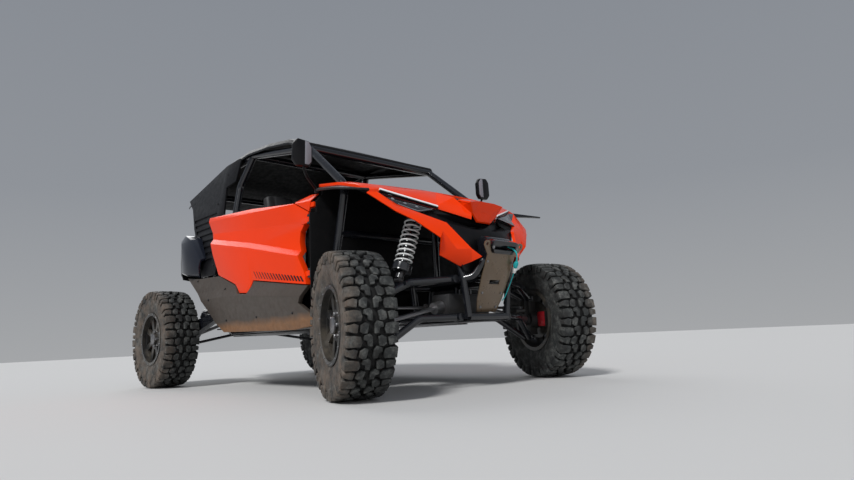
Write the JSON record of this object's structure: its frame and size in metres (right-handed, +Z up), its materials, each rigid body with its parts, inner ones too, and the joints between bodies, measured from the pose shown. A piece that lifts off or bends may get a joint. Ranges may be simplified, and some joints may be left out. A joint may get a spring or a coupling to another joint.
{
  "type": "side by side off-road vehicle",
  "caption": "Sport off-road buggy for two abreast, with a roll cage, hinged half doors, a cargo bed and steered, freely turning lugged wheels.",
  "frame": {"origin": "on the floor, under the middle of the vehicle's length and width", "axes": "+X forward, +Y to the driver's left, +Z up"},
  "size_m": [3.4084, 2.0842, 1.7595],
  "materials": {
    "tyre": "dusty rubber",
    "wheel_black": "satin",
    "cast_black": "satin",
    "black_metal": "satin powder coat",
    "orange_panels": "gloss",
    "black_plastic": "satin moulded",
    "gunmetal": "semi gloss",
    "dark_gloss": "gloss",
    "lamp_dark": "gloss lens",
    "lamp_white": "lit strip",
    "lamp_red": "gloss lens",
    "rope_teal": "woven synthetic rope",
    "seat_cover": "matt vinyl",
    "grip_rubber": "matt",
    "bright_steel": "brushed",
    "alloy": "cast",
    "spring_white": "gloss"
  },
  "bodies": {
    "chassis": {"bumper_bar": "black_metal", "cabin_tub": "black_plastic", "cargo_bed": "black_plastic", "console": "black_plastic", "cowl_spears": "orange_panels", "dash": "black_plastic", "door_hinges": "black_metal", "drive_shafts": "bright_steel", "engine_block": "alloy", "fender_trims": "black_plastic", "firewall": "black_plastic", "floor_frame": "black_metal", "front_arms": "black_metal", "front_frame": "black_metal", "front_plate": "gunmetal", "grille": "black_plastic", "headlamps": "lamp_dark", "hood": "orange_panels", "lamp_strips": "lamp_white", "mirrors": "black_plastic", "muffler": "alloy", "nose_fangs": "orange_panels", "rack_housing": "alloy", "rear_arms": "black_metal", "rear_bumper": "black_metal", "rear_fascia": "black_plastic", "rear_fenders": "dark_gloss", "rear_frame": "black_metal", "rear_links": "black_metal", "rear_quarters": "black_plastic", "rocker_panels": "gunmetal", "roll_cage": "black_metal", "roof": "black_plastic", "seat_bases": "black_plastic", "seats": "seat_cover", "shocks": "bright_steel", "skid_plate": "black_plastic", "springs": "spring_white", "steering_column": "black_metal", "tail_lamps": "lamp_red", "winch": "black_metal", "winch_rope": "rope_teal"},
    "knuckle_right": {"upright_right": "cast_black"},
    "knuckle_left": {"upright_left": "cast_black"},
    "wheel_front_right": {"tyre_front_right": "tyre", "rim_front_right": "wheel_black"},
    "wheel_front_left": {"tyre_front_left": "tyre", "rim_front_left": "wheel_black"},
    "wheel_rear_right": {"tyre_rear_right": "tyre", "rim_rear_right": "wheel_black"},
    "wheel_rear_left": {"tyre_rear_left": "tyre", "rim_rear_left": "wheel_black"},
    "hand_wheel": {"steering_wheel": "grip_rubber"},
    "rack": {"steering_rack": "bright_steel"},
    "right_door": {"door_right": "orange_panels"},
    "left_door": {"door_left": "orange_panels"}
  },
  "joints": [
    {"name": "steer_left", "type": "hinge", "parent": "chassis", "child": "knuckle_left", "pos_m": [1.26, 0.675, 0.381], "axis": [0, 0, 1], "range_deg": [-12, 52]},
    {"name": "steer_right", "type": "hinge", "parent": "chassis", "child": "knuckle_right", "pos_m": [1.26, -0.675, 0.381], "axis": [0, 0, 1], "range_deg": [-12, 52]},
    {"name": "rack_slide", "type": "slide", "parent": "chassis", "child": "rack", "axis": [0, 1, 0], "range_m": [-0.106, 0.026]},
    {"name": "hand_wheel_turn", "type": "hinge", "parent": "chassis", "child": "hand_wheel", "pos_m": [0.455, 0.3, 1.04], "axis": [-0.8192, 0, 0.5736], "range_deg": [-97, 417]},
    {"name": "spin_front_right", "type": "hinge", "parent": "knuckle_right", "child": "wheel_front_right", "pos_m": [1.21725, -0.79246, 0.381], "axis": [0.342, 0.9397, 0], "continuous": true},
    {"name": "spin_front_left", "type": "hinge", "parent": "knuckle_left", "child": "wheel_front_left", "pos_m": [1.30275, 0.79246, 0.381], "axis": [0.342, 0.9397, 0], "continuous": true},
    {"name": "spin_rear_right", "type": "hinge", "parent": "chassis", "child": "wheel_rear_right", "pos_m": [-1.26, -0.8, 0.381], "axis": [0, 1, 0], "continuous": true},
    {"name": "spin_rear_left", "type": "hinge", "parent": "chassis", "child": "wheel_rear_left", "pos_m": [-1.26, 0.8, 0.381], "axis": [0, 1, 0], "continuous": true},
    {"name": "right_door_hinge", "type": "hinge", "parent": "chassis", "child": "right_door", "pos_m": [0.742, -0.724, 0.86], "axis": [0, 0, 1], "range_deg": [0, 65]},
    {"name": "left_door_hinge", "type": "hinge", "parent": "chassis", "child": "left_door", "pos_m": [0.742, 0.724, 0.86], "axis": [0, 0, -1], "range_deg": [0, 65]}
  ],
  "couplings": [
    {"joint": "steer_right", "follows": "steer_left", "ratio": 1},
    {"joint": "rack_slide", "follows": "steer_left", "m_per_rad": -0.1139},
    {"joint": "hand_wheel_turn", "follows": "steer_left", "ratio": 8}
  ]
}
